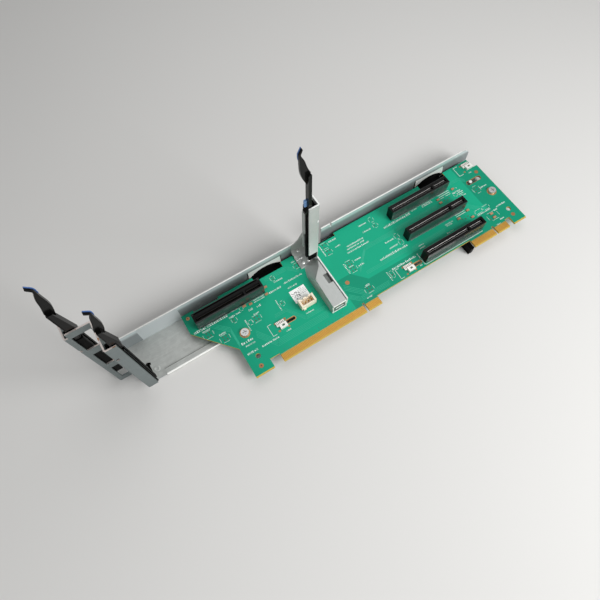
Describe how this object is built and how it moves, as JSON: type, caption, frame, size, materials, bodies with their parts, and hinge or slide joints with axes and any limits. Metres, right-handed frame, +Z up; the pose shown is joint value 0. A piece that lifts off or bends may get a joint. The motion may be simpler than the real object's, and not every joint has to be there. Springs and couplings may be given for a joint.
{
  "type": "riser card",
  "caption": "Server expansion riser card: green circuit board on a plated steel tray, with card slots, card guides and latch levers",
  "frame": {"origin": "bottom centre of the box of the whole part, levers inward, on the plane of the tray's underside", "axes": "+X along the board from the lever end to the slot end, +Y from the edge tongues to the back flange, +Z up from the tray through the board"},
  "size_m": [0.3334, 0.0736, 0.1432],
  "materials": {
    "board_green": "green solder resist over glass laminate",
    "contact_gold": "gold plated",
    "slot_black": "moulded",
    "plated_steel": "zinc plated sheet",
    "bracket_steel": "zinc plated sheet, dull",
    "guide_black": "moulded",
    "lever_black": "moulded, slight sheen",
    "touch_blue": "moulded",
    "pin_steel": "plated",
    "clip_tin": "tin plated",
    "header_cream": "moulded",
    "chip_tan": "ceramic"
  },
  "bodies": {
    "frame": {"circuit_board": "board_green", "main_edge_contacts": "contact_gold", "small_edge_contacts": "contact_gold", "card_slot_front": "slot_black", "card_slot_front_contacts": "contact_gold", "card_slot_middle": "slot_black", "card_slot_middle_contacts": "contact_gold", "card_slot_rear": "slot_black", "card_slot_rear_contacts": "contact_gold", "storage_slot": "slot_black", "storage_slot_contacts": "contact_gold", "tray": "plated_steel", "end_bracket": "bracket_steel", "centre_bracket": "plated_steel", "centre_upright": "bracket_steel", "rear_end_guide": "guide_black", "front_end_guide": "guide_black", "centre_guide": "guide_black", "rear_pin": "pin_steel", "front_pin": "pin_steel", "centre_pin": "pin_steel", "board_screws": "pin_steel", "grounding_clips": "clip_tin", "board_foot": "guide_black", "power_header": "header_cream", "header_pins": "contact_gold", "chip_parts": "chip_tan"},
    "rear_latch": {"rear_lever": "lever_black", "rear_touch": "touch_blue"},
    "front_latch": {"front_lever": "lever_black", "front_touch": "touch_blue"},
    "centre_latch": {"centre_lever": "lever_black", "centre_touch": "touch_blue", "centre_tab": "touch_blue"}
  },
  "joints": [
    {"name": "rear_latch_hinge", "type": "hinge", "parent": "frame", "child": "rear_latch", "pos_m": [-0.1607, 0.0196, 0.084], "axis": [0, -1, 0], "range_deg": [0, 15]},
    {"name": "front_latch_hinge", "type": "hinge", "parent": "frame", "child": "front_latch", "pos_m": [-0.1434, -0.0011, 0.087], "axis": [0, -1, 0], "range_deg": [0, 15]},
    {"name": "centre_latch_hinge", "type": "hinge", "parent": "frame", "child": "centre_latch", "pos_m": [-0.0031, 0.0206, 0.081], "axis": [0, 1, 0], "range_deg": [0, 15]}
  ]
}
